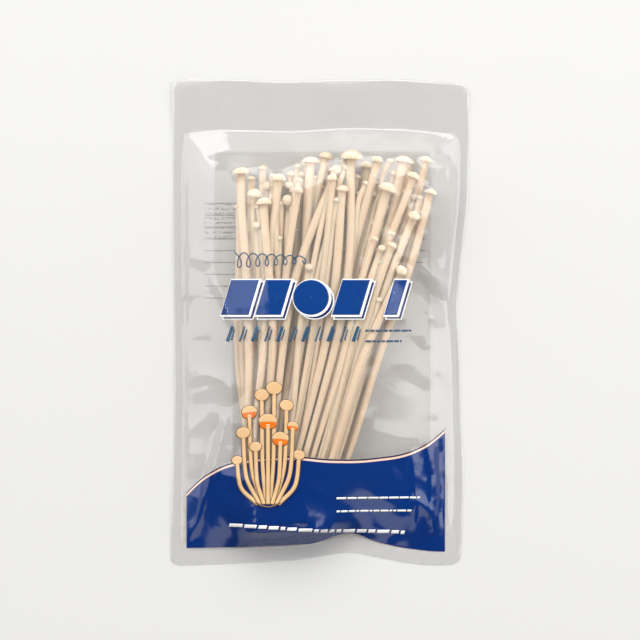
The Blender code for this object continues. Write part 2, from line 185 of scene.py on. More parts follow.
def noise(tree, place, scale, detail, **more):
    inputs = {"Vector": place, "Scale": scale, "Detail": detail, **more}
    return add_node(tree, "ShaderNodeTexNoise", inputs).outputs[0]


def bumped(tree, height, strength, depth):
    inputs = {"Strength": strength, "Distance": depth, "Height": height}
    return add_node(tree, "ShaderNodeBump", inputs).outputs[0]


def object_place(tree):
    return add_node(tree, "ShaderNodeTexCoord").outputs["Object"]


def new_material(name):
    material = bpy.data.materials.new(name)
    material.use_nodes = True
    tree = material.node_tree
    shader = tree.nodes["Principled BSDF"]
    return material, tree, shader


# %% [markdown]
# ## Mushroom flesh
# Fresh enoki are cream, a little pinker on the caps and tan towards the foot, with faint
# fibres along the stem and a soft satin skin that lets some light through. The gills under
# each cap are painted a darker, warmer cream than the cap: painted shade under the cap.
# Each vertex keeps where it was on the straight mushroom, so the fibres follow the stem
# wherever it bends.

# %% Flesh material
STEM_CREAM = (0.67, 0.535, 0.385, 1.0)
STEM_TAN = (0.58, 0.41, 0.255, 1.0)
CAP_CREAM = (0.71, 0.58, 0.43, 1.0)
# The gills' cream, darkened and warmed as painted shade under the cap.
GILL_CREAM_PAINTED_SHADE = (0.62, 0.47, 0.32, 1.0)
# Fibres are fine round the stem and long along it.
FIBRE_SCALE = (900.0, 900.0, 55.0)


def flesh_material():
    material, tree, shader = new_material("mushroom flesh")
    straight = add_node(tree, "ShaderNodeAttribute", attribute_name="straight").outputs["Vector"]
    traits = add_node(tree, "ShaderNodeAttribute", attribute_name="traits").outputs["Vector"]
    cap, gill_painted_shade, shade = add_node(tree, "ShaderNodeSeparateXYZ", {0: traits}).outputs
    drawn_out = add_node(tree, "ShaderNodeMapping", {"Vector": straight, "Scale": FIBRE_SCALE})
    fibres = noise(tree, drawn_out.outputs[0], 1.0, 3.0)
    blotch = noise(tree, straight, 160.0, 2.0)
    aging = calc(tree, "MULTIPLY_ADD", blotch, 1.1, -0.42, clamp=True)
    colour = blend_colours(tree, shade, STEM_CREAM, STEM_TAN)
    colour = blend_colours(tree, calc(tree, "MULTIPLY", aging, 0.55), colour, STEM_TAN)
    grain = calc(tree, "MULTIPLY_ADD", fibres, 0.22, 0.89)
    grey = add_node(tree, "ShaderNodeCombineXYZ", {0: grain, 1: grain, 2: grain}).outputs[0]
    colour = blend_colours(tree, 1.0, colour, grey, mode="MULTIPLY")
    colour = blend_colours(tree, cap, colour, CAP_CREAM)
    # Painted shade: the gills under each cap take the darker gill colour.
    wire(tree, shader, {"Base Color": blend_colours(tree, gill_painted_shade, colour, GILL_CREAM_PAINTED_SHADE),
                        "Roughness": calc(tree, "MULTIPLY_ADD", fibres, 0.2, 0.38),
                        "Normal": bumped(tree, fibres, 0.25, 0.12 * MM),
                        "Subsurface Weight": 0.6, "Subsurface Radius": (1.0, 0.6, 0.35),
                        "Subsurface Scale": 4.0 * MM})
    return material


flesh = flesh_material()
print("flesh has", len(flesh.node_tree.nodes), "nodes")

# %% [markdown]
# ## Where each mushroom lies
# A mushroom in the frame is one closed tube of equal rings, from the foot to the top of its
# cap. Walking its edges from the ring nearest the foot gives the rings one after another, and
# with them the centre line, the stem's girth and the cap's size.

# %% Read a mushroom's rings from the frame
RING_SIDES = 6
CAP_RINGS = 5
APEX_SHARE = 0.89
RIM_SHARE = 0.96


def rings_of(node):
    mesh = bmesh.new()
    mesh.from_mesh(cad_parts[node].data)
    bmesh.ops.remove_doubles(mesh, verts=mesh.verts, dist=0.01 * MM)
    ring = sorted(mesh.verts, key=lambda vertex: vertex.co.y)[:RING_SIDES]
    seen = set(ring)
    rings = []
    while ring:
        centre = sum((vertex.co for vertex in ring), Vector()) / len(ring)
        girth = max((vertex.co - centre).length for vertex in ring)
        rings.append((centre, girth))
        beyond = {edge.other_vert(vertex) for vertex in ring for edge in vertex.link_edges}
        ring = [vertex for vertex in beyond if vertex not in seen]
        seen.update(ring)
    mesh.free()
    return rings


def mushroom_facts(node):
    rings = rings_of(node)
    stem = rings[:-CAP_RINGS]
    cap = rings[-CAP_RINGS:]
    radius = max(girth for _, girth in cap) / RIM_SHARE
    axis = (cap[-1][0] - cap[0][0]).normalized()
    return dict(node=node, line=[centre for centre, _ in stem],
                girths=[girth for _, girth in stem], radius=radius, axis=axis)


mushrooms = [mushroom_facts(node) for node in sorted(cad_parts)
             if node.startswith("mushroom_")]
print(len(mushrooms), "mushrooms, caps", [round(m["radius"] * 2 / MM, 1) for m in mushrooms[:5]])

# %% [markdown]
# ## One straight mushroom
# A mushroom is round about its stem, so a circle is drawn and pushed up ring by ring, as a
# potter raises a wall: a long even stem, then in under the cap, out along the gills, round the
# rolled rim and over the dome. It is made once, at unit size, and every mushroom is a copy.

# %% Raise the standard mushroom
SIDES = 20
STEM_RINGS = 44
STEM_TOP = 1.0
# The cap's outline from the stem outwards and over: radius and height in cap radii.
CAP_OUTLINE = [(0.30, 0.22), (0.52, 0.17), (0.76, 0.07), (0.90, -0.01), (0.965, 0.0), (1.0, 0.08)]
DOME_RINGS = 9
DOME_START = 0.08


def dome_outline():
    points = []
    for ring in range(1, DOME_RINGS + 1):
        turn = ring / (DOME_RINGS + 0.35) * math.pi / 2.0
        points.append((math.cos(turn), DOME_START + (APEX_SHARE - DOME_START) * math.sin(turn)))
    return points


def raise_standard():
    deselect()
    bpy.ops.mesh.primitive_circle_add(vertices=SIDES, radius=1.0, fill_type="NGON",
                                      location=(0.0, 0.0, 0.0))
    obj = bpy.context.object
    bpy.ops.object.mode_set(mode="EDIT")
    bpy.ops.mesh.select_all(action="SELECT")
    rise = STEM_TOP / STEM_RINGS
    for _ in range(STEM_RINGS):
        bpy.ops.mesh.extrude_region_move(TRANSFORM_OT_translate={"value": (0.0, 0.0, rise)})
    before = (1.0, 0.0)
    for outline in CAP_OUTLINE + dome_outline():
        step = outline[1] - before[1] + (STEM_TOP if before[0] == 1.0 and not before[1] else 0.0)
        bpy.ops.mesh.extrude_region_move(TRANSFORM_OT_translate={"value": (0.0, 0.0, step)})
        scale = outline[0] / before[0]
        bpy.ops.transform.resize(value=(scale, scale, 1.0))
        before = outline
    bpy.ops.mesh.poke()
    bpy.ops.mesh.select_all(action="SELECT")
    bpy.ops.mesh.normals_make_consistent(inside=False)
    bpy.ops.object.mode_set(mode="OBJECT")
    return obj


standard = raise_standard()
standard_places = places_of(standard.data)
standard_ring = numpy.arange(len(standard_places)) // SIDES
print("the standard mushroom has", len(standard_places), "vertices")

# %% [markdown]
# ## Every mushroom on its own line
# Each copy is first given its own sizes while it is still straight: the stem's length and
# girth, a cap of its own size, a little out of round. A Curve modifier then lays it along its
# centre line, which leaves the foot straight, bends with the bunch and ends along the cap's
# axis. The straight places are kept as an attribute for the fibres in the material.

# %% Smooth centre lines
SAMPLES = 7
ROOT_DEPTH = 2.5 * MM
PAST_CAP = 2.0
SWAY = 0.75 * MM


def smooth_line(points, end_way):
    """A smooth line through the points, leaving the last one along end_way."""
    ways = [(points[1] - points[0]).normalized()]
    ways += [(points[i + 1] - points[i - 1]).normalized() for i in range(1, len(points) - 1)]
    ways[-1] = ways[-1].lerp(end_way, 0.5).normalized()
    ways.append(end_way)
    line = []
    for i in range(len(points) - 1):
        reach = (points[i + 1] - points[i]).length
        for sample in range(SAMPLES):
            t = sample / SAMPLES
            line.append(points[i] * (2 * t ** 3 - 3 * t ** 2 + 1)
                        + ways[i] * reach * (t ** 3 - 2 * t ** 2 + t)
                        + points[i + 1] * (-2 * t ** 3 + 3 * t ** 2)
                        + ways[i + 1] * reach * (t ** 3 - t ** 2))
    return line + [points[-1]]


def swayed(line, reach):
    """The line with a slow sideways sway that fades out towards both ends."""
    phase = chance.uniform(0.0, math.tau, 2)
    periods = chance.uniform(0.7, 1.6)
    moved = []
    for step, place in enumerate(line):
        share = step / (len(line) - 1)
        fade = math.sin(math.pi * share) ** 0.7 * reach
        moved.append(place + Vector((math.sin(share * periods * math.tau + phase[0]) * fade, 0.0,
                                     0.4 * math.sin(share * 5.0 + phase[1]) * fade)))
    return moved


def length_of(line):
    return sum((b - a).length for a, b in zip(line, line[1:]))


def path_object(line):
    curve = bpy.data.curves.new("path", "CURVE")
    curve.dimensions = "3D"
    spline = curve.splines.new("POLY")
    spline.points.add(len(line) - 1)
    for target, place in zip(spline.points, line):
        target.co = (*place, 1.0)
    return new_object("path", curve)


# %% Size a straight copy and lay it along its line
CAP_START = STEM_RINGS + 1
GILL_RINGS = 3
STANDARD_CAP_BASE = 2.0
INNER_RADIUS = 0.30
RING_CROWDING = 1.35
chance = numpy.random.default_rng(5)


def straight_copy(name, length, stations, girths, radius):
    obj = new_object(name, standard.data.copy())
    places = standard_places.copy()
    round_about = numpy.arctan2(places[:, 1], places[:, 0])
    reach = numpy.hypot(places[:, 0], places[:, 1])
    ring = standard_ring
    in_cap = ring >= CAP_START
    share = 1.0 - (1.0 - numpy.minimum(ring / STEM_RINGS, 1.0)) ** RING_CROWDING
    girth = numpy.interp(share * length, stations, girths)
    phase = chance.uniform(0.0, 6.28, 4)
    swell = 1.0 + 0.025 * numpy.sin(share * 23.0 + phase[0])
    flat = 1.0 + 0.045 * numpy.sin(2.0 * round_about + phase[1] + share * 2.0)
    stem_reach = girth * swell * flat * reach
    inner = min(girths[-1] / radius * 0.98, 0.86)
    cap_reach = inner + (reach - INNER_RADIUS) / (1.0 - INNER_RADIUS) * (1.0 - inner)
    cap_reach = numpy.where(ring >= CAP_START + len(CAP_OUTLINE), reach, cap_reach)
    wave = 1.0 + 0.035 * numpy.sin(2.0 * round_about + phase[2])
    wave += 0.02 * numpy.sin(3.0 * round_about + phase[3])
    cap_reach = cap_reach * wave * radius * 0.985
    height = (places[:, 2] - STANDARD_CAP_BASE) * chance.uniform(0.86, 1.0)
    total = numpy.where(in_cap, cap_reach, stem_reach)
    lean = numpy.where(in_cap, numpy.maximum(height, 0.0) * chance.uniform(-0.12, 0.12), 0.0)
    straight = numpy.zeros_like(places)
    straight[:, 0] = numpy.cos(round_about) * total + lean * radius
    straight[:, 1] = numpy.sin(round_about) * total
    straight[:, 2] = numpy.where(in_cap, length + height * radius, share * length)
    put_places(obj.data, straight)
    keep_traits(obj.data, straight, in_cap, share)
    return obj


def keep_traits(mesh, straight, in_cap, share):
    kept = mesh.attributes.new("straight", "FLOAT_VECTOR", "POINT")
    shift = chance.uniform(0.0, 0.5, 3)
    kept.data.foreach_set("vector", (straight + shift).reshape(-1))
    # The underside of the cap, where the gills are given painted shade.
    gill_painted_shade = in_cap & (standard_ring < CAP_START + GILL_RINGS)
    tan = 0.62 * (1.0 - share) ** 2.2 + chance.uniform(0.0, 0.22)
    traits = numpy.stack([in_cap * chance.uniform(0.45, 1.0), gill_painted_shade * 0.8, tan], axis=1)
    kept = mesh.attributes.new("traits", "FLOAT_VECTOR", "POINT")
    kept.data.foreach_set("vector", traits.reshape(-1))


def lay_mushroom(name, facts):
    points = facts["line"]
    first_way = (points[1] - points[0]).normalized()
    points = [points[0] - first_way * ROOT_DEPTH] + points
    line = swayed(smooth_line(points, facts["axis"]), SWAY)
    length = length_of(line)
    stations = [length_of(line[:i * SAMPLES + 1]) for i in range(len(points))]
    girths = [facts["girths"][0]] + facts["girths"]
    obj = straight_copy(name, length, stations, girths, facts["radius"])
    past = facts["axis"] * facts["radius"] * PAST_CAP
    ahead = [line[-1] + past * step / 4 for step in (1, 2, 3, 4)]
    path = path_object(line + ahead)
    bend = obj.modifiers.new("bend", "CURVE")
    bend.object = path
    bend.deform_axis = "POS_Z"
    apply_modifiers(obj)
    bpy.data.objects.remove(path, do_unlink=True)
    obj.data.shade_smooth()
    return obj


laid = []
for facts in mushrooms:
    piece = lay_mushroom("enoki" + facts["node"][len("mushroom"):], facts)
    hand_over(piece, "mushroom", flesh, facts["node"])
    laid.append(piece)
print("laid", len(laid), "mushrooms of", len(standard_places), "vertices each")

# %% [markdown]
# ## Younger mushrooms between them
# A bunch also holds slender mushrooms that were crowded out, with caps like pinheads. Each one
# runs midway between two neighbours whose caps stand a little apart, and stops short of them.

# %% Slender mushrooms
NEAR = 4.4 * MM
FAR = 12.5 * MM
YOUNG_GIRTH = 0.72
YOUNG_CAP = (1.35, 2.1)
MOST_YOUNG = 112


def lowered(place, depth):
    return Vector((place.x, place.y, max(place.z - depth, 1.6 * MM)))


def between(one, other):
    """The facts of a slender mushroom midway between two, ending below their caps."""
    stop = len(one["line"]) - int(chance.integers(1, 4))
    depth = chance.uniform(0.0, 1.2) * MM
    line = [lowered((a + b) / 2.0, depth) for a, b in zip(one["line"][:stop], other["line"])]
    line = [line[i] for i in range(len(line))
            if i == 0 or (line[i] - line[i - 1]).length > 2.5 * MM]
    last = (line[-1] - line[-2])
    line.append(line[-1] + last.normalized() * chance.uniform(3.0, 9.0) * MM
                + Vector((chance.normal(0.0, 1.0), 0.0, chance.normal(0.0, 0.4))) * MM)
    girths = [(a + b) / 2.0 * YOUNG_GIRTH for a, b in zip(one["girths"], other["girths"])]
    girths = (girths[:len(line)] + [girths[-1]] * len(line))[:len(line)]
    axis = (line[-1] - line[-2]).normalized() + Vector((0, 0, chance.uniform(0.0, 0.7)))
    return dict(node="young", line=line, girths=girths, axis=axis.normalized(),
                radius=chance.uniform(*YOUNG_CAP) * MM)


pairs = []
for i, one in enumerate(mushrooms):
    for other in mushrooms[i + 1:]:
        apart = (one["line"][-1] - other["line"][-1]).length
        if NEAR < apart < FAR and len(one["line"]) == len(other["line"]):
            pairs.append((chance.random(), one, other))
pairs.sort(key=lambda pair: pair[0])
for number, (_, one, other) in enumerate(pairs[:MOST_YOUNG]):
    piece = lay_mushroom(f"young_enoki_{number + 1:02d}", between(one, other))
    hand_over(piece, "mushroom", flesh)
    laid.append(piece)
print(len(pairs), "places between neighbours,", min(len(pairs), MOST_YOUNG), "taken")

# %% [markdown]
# ## The fused foot
# Below its free stems the bunch is one body. It is put together as the stems are: a stub runs
# on from every stem into an oval core, and a voxel remesh melts them into one skin, which is
# smoothed and roughened a little. The cut end keeps crumbs of what it grew on.

# %% Foot material
FOOT_TAN = (0.66, 0.52, 0.35, 1.0)
FOOT_BROWN = (0.20, 0.115, 0.055, 1.0)
FOOT_CREAM = (0.78, 0.68, 0.52, 1.0)


def foot_material(cut_y, stem_y):
    material, tree, shader = new_material("fused foot")
    place = object_place(tree)
    y = add_node(tree, "ShaderNodeSeparateXYZ", {0: place}).outputs[1]
    along = add_node(tree, "ShaderNodeMapRange", {0: y, 1: cut_y, 2: stem_y}).outputs[0]
    crumbs = noise(tree, place, 420.0, 4.0, Roughness=0.7)
    colour = blend_colours(tree, along, FOOT_TAN, FOOT_CREAM)
    dirt = calc(tree, "MULTIPLY_ADD", along, -3.2, 0.75)
    dirt = calc(tree, "MULTIPLY", calc(tree, "ADD", dirt, crumbs), 0.9, clamp=True)
    dirt = calc(tree, "POWER", dirt, 2.5)
    wire(tree, shader, {"Base Color": blend_colours(tree, dirt, colour, FOOT_BROWN),
                        "Roughness": calc(tree, "MULTIPLY_ADD", crumbs, 0.3, 0.55),
                        "Normal": bumped(tree, crumbs, 0.5, 0.4 * MM)})
    return material


# %% Melt the stubs into one foot
STUB_SIDES = 10
VOXEL = 0.55 * MM


def add_stub(start, end, first, last):
    way = end - start
    bpy.ops.mesh.primitive_cone_add(vertices=STUB_SIDES, radius1=last, radius2=first,
                                    depth=way.length, location=(start + end) / 2.0,
                                    rotation=(-way).to_track_quat("Z", "Y").to_euler())
    return bpy.context.object


def build_foot():
    low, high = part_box("clump_base")
    centre = (low + high) / 2.0
    size = high - low
    deselect()
    bpy.ops.mesh.primitive_uv_sphere_add(segments=32, ring_count=16, radius=0.5, location=centre)
    core = bpy.context.object
    core.scale = (size.x * 0.93, size.y * 1.05, size.z * 0.93)
    bpy.ops.object.transform_apply(location=True, rotation=True, scale=True)
    parts = [core]
    for facts in mushrooms:
        start = facts["line"][0]
        way = (facts["line"][0] - facts["line"][1]).normalized()
        aim = Vector((centre.x + (start.x - centre.x) * 0.86, low.y + 0.6 * MM,
                      centre.z + (start.z - centre.z) * 0.86))
        end = start + way * (start - aim).length * 0.4
        middle = (end + aim) / 2.0
        parts.append(add_stub(start, middle, facts["girths"][0] * 1.02, facts["girths"][0] * 1.5))
        parts.append(add_stub(middle, aim, facts["girths"][0] * 1.5, facts["girths"][0] * 1.7))
    deselect()
    for part in parts:
        part.select_set(True)
    bpy.context.view_layer.objects.active = core
    bpy.ops.object.join()
    foot = core
    foot.name = "fused_foot"
    melt = foot.modifiers.new("melt", "REMESH")
    melt.mode = "VOXEL"
    melt.voxel_size = VOXEL
    ease = foot.modifiers.new("ease", "SMOOTH")
    ease.factor = 0.5
    ease.iterations = 3
    lumps = bpy.data.textures.new("foot lumps", "CLOUDS")
    lumps.noise_scale = 2.6 * MM
    rough = foot.modifiers.new("lumps", "DISPLACE")
    rough.texture = lumps
    rough.strength = 0.9 * MM
    rough.mid_level = 0.6
    apply_modifiers(foot)
    foot.data.shade_smooth()
    places = places_of(foot.data)
    places[:, 2] = numpy.maximum(places[:, 2], 0.35 * MM)
    put_places(foot.data, places)
    return foot, low.y, high.y


foot, cut_y, stem_y = build_foot()
hand_over(foot, "foot", foot_material(cut_y, stem_y), "clump_base")
print("the foot has", len(foot.data.vertices), "vertices")
bpy.data.objects.remove(standard, do_unlink=True)

# %% [markdown]
# ## The bag's shape
# The bag is two flat plastic films sealed together round their edge. The back one lies flat;
# the front one is drawn over the bunch like a skin. A fine grid is laid to the bag's outline,
# every point is dropped onto what lies below it, and the grid is then let go slack and tight
# again until it rests on the mushrooms and spans the hollows between them. Folds are ridges
# and valleys along short lines: some where the bag is pinched, the rest scattered at random
# round the bunch, where loose film gathers.

# %% Outline of the bag
RIGHT_EDGE = ((-106.9, 61.4), (-95.0, 62.7), (-65.0, 63.2), (-42.0, 62.2), (-16.0, 61.7),
              (7.0, 60.2), (19.0, 61.3), (38.0, 63.2), (54.0, 65.0), (84.0, 65.8),
              (106.9, 65.2))
LEFT_EDGE = ((-106.9, -65.8), (-96.0, -65.8), (-69.0, -64.8), (-34.0, -64.0), (0.0, -64.3),
             (36.0, -64.8), (106.9, -64.8))
BOTTOM_EDGE = ((-65.8, -106.9), (-30.0, -105.6), (-8.0, -104.2), (2.0, -102.4),
               (14.0, -100.3), (24.0, -102.8), (37.0, -105.5), (50.0, -106.8), (65.8, -106.0))
TOP_EDGE = ((-65.8, 106.6), (-44.0, 106.9), (-12.0, 105.6), (10.0, 106.7), (37.0, 106.7),
            (65.8, 104.4))
HALF_LENGTH = 106.9
CORNER = 4.0
SOFTENING = (-4.0, -2.0, 0.0, 2.0, 4.0)


def edge_at(edge, place):
    """How far out an edge lies at a place along it, in millimetres, with softened corners."""
    along, out = zip(*edge)
    return sum(numpy.interp(place + shift, along, out) for shift in SOFTENING) / len(SOFTENING)


def side_edges(v):
    """The bag's left and right edge at a share of its length, drawn in at its corners."""
    y = (2.0 * v - 1.0) * HALF_LENGTH
    rest = numpy.clip(CORNER - (HALF_LENGTH - numpy.abs(y)), 0.0, CORNER)
    inset = CORNER - numpy.sqrt(CORNER * CORNER - rest * rest)
    return edge_at(LEFT_EDGE, y) + inset, edge_at(RIGHT_EDGE, y) - inset


def outline_place(u, v):
    """Where the flat bag's shares of width and length lie, in millimetres."""
    left, right = side_edges(v)
    x = left + (right - left) * u
    low = edge_at(BOTTOM_EDGE, x)
    return x, low + (edge_at(TOP_EDGE, x) - low) * v


def outline_shares(x, y):
    """The shares of width and length at a place on the bag: outline_place turned round."""
    low = edge_at(BOTTOM_EDGE, x)
    v = (y - low) / (edge_at(TOP_EDGE, x) - low)
    left, right = side_edges(numpy.clip(v, 0.0, 1.0))
    return (x - left) / (right - left), v


# %% Folds
PINCH_FOLDS = (
    (((-40.0, -38.0), (-44.0, -56.0), (-48.5, -69.4), (-53.0, -86.0), (-58.0, -97.0)), 1.3, 2.2),
    (((-45.0, -40.0), (-50.0, -60.0), (-54.0, -76.0)), 3.0, -1.4),
    (((-60.0, -25.0), (-50.0, -22.5), (-42.0, -25.0), (-36.0, -34.0)), 3.2, 1.8),
    (((60.0, 8.0), (50.0, 11.0), (42.0, 19.0), (34.0, 27.0)), 1.7, -6.0),
    (((61.0, 13.0), (53.0, 17.0), (44.0, 26.0)), 1.6, 3.6),
    (((58.0, -1.0), (50.0, 2.0), (42.0, 4.0)), 2.4, 1.6),
    (((41.0, -54.0), (41.8, -74.0), (40.5, -92.0)), 1.1, 1.2),
    (((46.5, -46.0), (49.5, -68.0), (48.5, -94.0)), 2.0, 1.6),
    (((52.0, -50.0), (54.0, -72.0), (53.0, -90.0)), 1.4, -1.2),
    (((14.0, -101.0), (13.0, -90.0), (8.0, -80.0)), 5.0, 1.6),
    (((-3.0, -101.0), (-5.0, -93.0), (-12.0, -86.0)), 3.0, -1.3),
    (((27.0, -100.0), (33.0, -92.0), (36.0, -84.0)), 3.0, -1.2),
    (((-59.0, 84.0), (-53.0, 76.0), (-46.0, 66.0)), 1.6, 1.5),
    (((59.0, 84.0), (54.0, 77.0), (49.0, 68.0)), 1.6, 1.3),
    (((-57.5, 70.0), (-57.0, 30.0), (-58.0, -10.0), (-57.5, -60.0)), 1.2, 0.9),
    (((-49.0, 22.0), (-43.0, 12.0), (-37.0, -4.0)), 1.3, 1.3),
    (((57.0, 70.0), (57.5, 40.0), (55.0, 20.0)), 1.2, 0.9),
)
LOOSE_FOLDS = 130
FOLD_END = 7.0


def fold_share(x, y, points, width):
    """How much of a fold's height each place gets: full on its line, none beyond its width."""
    best = numpy.zeros_like(x)
    whole = sum(math.dist(a, b) for a, b in zip(points, points[1:]))
    passed = 0.0
    for (ax, ay), (bx, by) in zip(points, points[1:]):
        step = math.dist((ax, ay), (bx, by))
        t = ((x - ax) * (bx - ax) + (y - ay) * (by - ay)) / step ** 2
        t = numpy.clip(t, 0.0, 1.0)
        away = numpy.hypot(x - ax - (bx - ax) * t, y - ay - (by - ay) * t)
        along = passed + t * step
        ends = numpy.clip(numpy.minimum(along, whole - along) / FOLD_END, 0.0, 1.0)
        best = numpy.maximum(best, numpy.exp(-(away / width) ** 1.4) * ends)
        passed += step
    return best


def loose_folds(count):
    """Short random folds. They run outwards from the bunch to the bag's nearest edge."""
    folds = []
    while len(folds) < count:
        x = chance.uniform(-58.0, 58.0)
        y = chance.uniform(-98.0, 82.0)
        side = abs(x) / 60.0
        if chance.random() > side ** 1.5 + 0.12:
            continue
        heading = math.atan2(y * 0.35, x) + chance.normal(0.0, 0.6)
        if chance.random() < 0.35:
            heading += math.pi / 2.0
        half = chance.uniform(5.0, 15.0)
        sway = chance.uniform(-0.25, 0.25)
        points = tuple((x + math.cos(heading + sway * step) * half * step,
                        y + math.sin(heading + sway * step) * half * step)
                       for step in (-1.0, -0.4, 0.4, 1.0))
        width = chance.uniform(1.5, 3.6)
        height = width * chance.uniform(0.12, 0.30) * (1.0 if chance.random() < 0.55 else -1.0)
        folds.append((points, width, height))
    return folds


print(len(PINCH_FOLDS), "folds at the pinches and", LOOSE_FOLDS, "loose ones")

# %% Drape the front film over the bunch
COLUMNS = 150
ROWS = 238
FILM = 0.06
SEAL_SIDE = 5.0
SEAL_FOOT = 6.5
SEAL_HEAD = 22.5
RELAXING = 500
SKIN_GAP = 0.3
SPREAD = ((1, 0), (-1, 0), (0, 1), (0, -1))


def shifted(grid, step):
    """The grid moved by one cell, with its border repeated."""
    rows, columns = step
    padded = numpy.pad(grid, 1, mode="edge")
    return padded[1 + rows:1 + rows + grid.shape[0], 1 + columns:1 + columns + grid.shape[1]]


def mean_of_neighbours(grid):
    return sum(shifted(grid, step) for step in SPREAD) / 4.0


def tree_of(objects):
    mesh = bmesh.new()
    for obj in objects:
        mesh.from_mesh(obj.data)
    tree = BVHTree.FromBMesh(mesh)
    mesh.free()
    return tree


def drop_onto(tree, x, y, missing):
    """The height at which a point falling at x, y meets the tree's surface, in millimetres."""
    heights = numpy.full(x.shape, missing)
    for index in numpy.ndindex(x.shape):
        hit = tree.ray_cast(Vector((x[index] * MM, y[index] * MM, 0.1)), Vector((0, 0, -1)))[0]
        if hit is not None:
            heights[index] = hit.z / MM
    return heights


def lift_at(x, y):
    """How far the empty seals stand off the table: the head most, the corners a little."""
    head = numpy.clip((y - 78.0) / 28.0, 0.0, 1.0) ** 1.5
    waves = 0.8 + 0.5 * numpy.sin(x / 11.0 + 0.6) + 0.35 * numpy.sin(x / 5.3 + y / 17.0)
    side = numpy.clip((numpy.abs(x) - 55.0) / 10.0, 0.0, 1.0) ** 2
    foot = numpy.clip((-94.0 - y) / 12.0, 0.0, 1.0) ** 2
    ripple = 0.5 + 0.5 * numpy.sin(y / 9.0 + x / 30.0)
    bump = numpy.exp(-((x - 14.0) / 9.0) ** 2)
    return head * waves + side * ripple * 0.5 + foot * (0.1 + 1.0 * bump)


def drape(u, v):
    """Heights of the front film's inside at every grid point, in millimetres."""
    x, y = outline_place(u, v)
    left, right = side_edges(v)
    low = edge_at(BOTTOM_EDGE, x)
    high = edge_at(TOP_EDGE, x)
    free = (x > left + SEAL_SIDE) & (x < right - SEAL_SIDE)
    free &= (y > low + SEAL_FOOT) & (y < high - SEAL_HEAD)
    seal = lift_at(x, y) + FILM * 1.7
    under = drop_onto(tree_of(laid + [foot]), x, y, 0.0)
    for step in SPREAD:
        under = numpy.maximum(under, shifted(under, step))
    under = numpy.where(under > 0.0, under + SKIN_GAP, 0.0)
    under = numpy.maximum(under, seal)
    film = drop_onto(tree_of([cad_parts["front_film"]]), x, y, 0.0)
    film = numpy.where(free, numpy.maximum(film, under), seal)
    for _ in range(RELAXING):
        film = numpy.where(free, numpy.maximum(mean_of_neighbours(film), under), seal)
    room = numpy.clip((film - under) / 4.0, 0.0, 1.0)
    inside = numpy.clip(numpy.minimum(x - left - SEAL_SIDE, right - SEAL_SIDE - x) / 3.0, 0.0, 1.0)
    inside *= numpy.clip(numpy.minimum(y - low - SEAL_FOOT, high - SEAL_HEAD - y) / 3.0, 0.0, 1.0)
    relief = numpy.zeros_like(film)
    for points, width, height in PINCH_FOLDS:
        relief += fold_share(x, y, points, width) * height
    for points, width, height in loose_folds(LOOSE_FOLDS):
        relief += fold_share(x, y, points, width) * height * (0.25 + 0.75 * room)
    film += relief * inside
    film = numpy.maximum(film, under)
    for _ in range(2):
        eased = mean_of_neighbours(film) * 0.5 + film * 0.5
        film = numpy.where(free, numpy.maximum(eased, under), seal)
    return film


def film_sheet(name, height_of):
    """A film as a grid of the bag's outline, with its own thickness upwards."""
    deselect()
    bpy.ops.mesh.primitive_grid_add(x_subdivisions=COLUMNS, y_subdivisions=ROWS, size=1.0)
    film = bpy.context.object
    film.name = name
    flat = places_of(film.data)
    u = (flat[:, 0] + 0.5).reshape(ROWS + 1, COLUMNS + 1)
    v = (flat[:, 1] + 0.5).reshape(ROWS + 1, COLUMNS + 1)
    x, y = outline_place(u, v)
    heights = height_of(u, v)
    places = numpy.stack([x, y, heights], axis=2).reshape(-1, 3) * MM
    put_places(film.data, places)
    thicken(film, FILM * MM)
    return film, heights


front, front_heights = film_sheet("front_film_sheet", drape)
back, _ = film_sheet("back_film_sheet", lambda u, v: lift_at(*outline_place(u, v)))
print("front film", len(front.data.polygons), "faces, highest", round(front_heights.max(), 1), "mm")

# %% [markdown]
# ## The film's material
# Clear film is hardly a colour at all: it lets most light through, takes a little away, and
# throws a mirror-like share back, more where it is seen at a slant. That gloss stays when the
# film is see-through, so it is mixed over the rest by a Fresnel node and does not depend on
# the film's alpha. A milky white border is printed round a clear window, and the foot of the bag
# carries a solid blue band with a cream and a navy line along its wavy upper edge.

# %% Masks from the place on the bag
CLEAR_ALPHA = 0.066
MILK_ALPHA = 0.085
SEAL_ALPHA = 0.105
CLEAR_COLOUR = (0.66, 0.605, 0.55, 1.0)
MILK_COLOUR = (0.72, 0.705, 0.685, 1.0)
SEAL_COLOUR = (0.68, 0.67, 0.66, 1.0)
BLUE = (0.0001, 0.0085, 0.088, 1.0)
BLUE_LIGHT = (0.0002, 0.036, 0.190, 1.0)
CREAM = (0.80, 0.55, 0.44, 1.0)
NAVY = (0.008, 0.008, 0.045, 1.0)
BAND_TOP = ((-58.6, -76.4), (-48.1, -67.2), (-36.7, -62.3), (-13.0, -59.7), (5.5, -61.0),
            (23.5, -60.6), (41.5, -57.1), (54.9, -48.3))
BAND_FOOT = ((-58.6, -99.2), (-9.0, -97.6), (-4.0, -97.2), (14.0, -92.6), (24.8, -96.4),
             (45.9, -100.3), (54.9, -100.8))
BAND_LEFT = -58.6
BAND_RIGHT = 54.9
CREAM_LINE = 0.9
NAVY_LINE = 1.6
WINDOW_LEFT = -46.0
WINDOW_RIGHT = 48.3
WINDOW_TOP = 74.4
CURVE_REACH = 120.0
SEAL_X = 59.7
SEAL_Y = 83.4
CRISP = 0.12


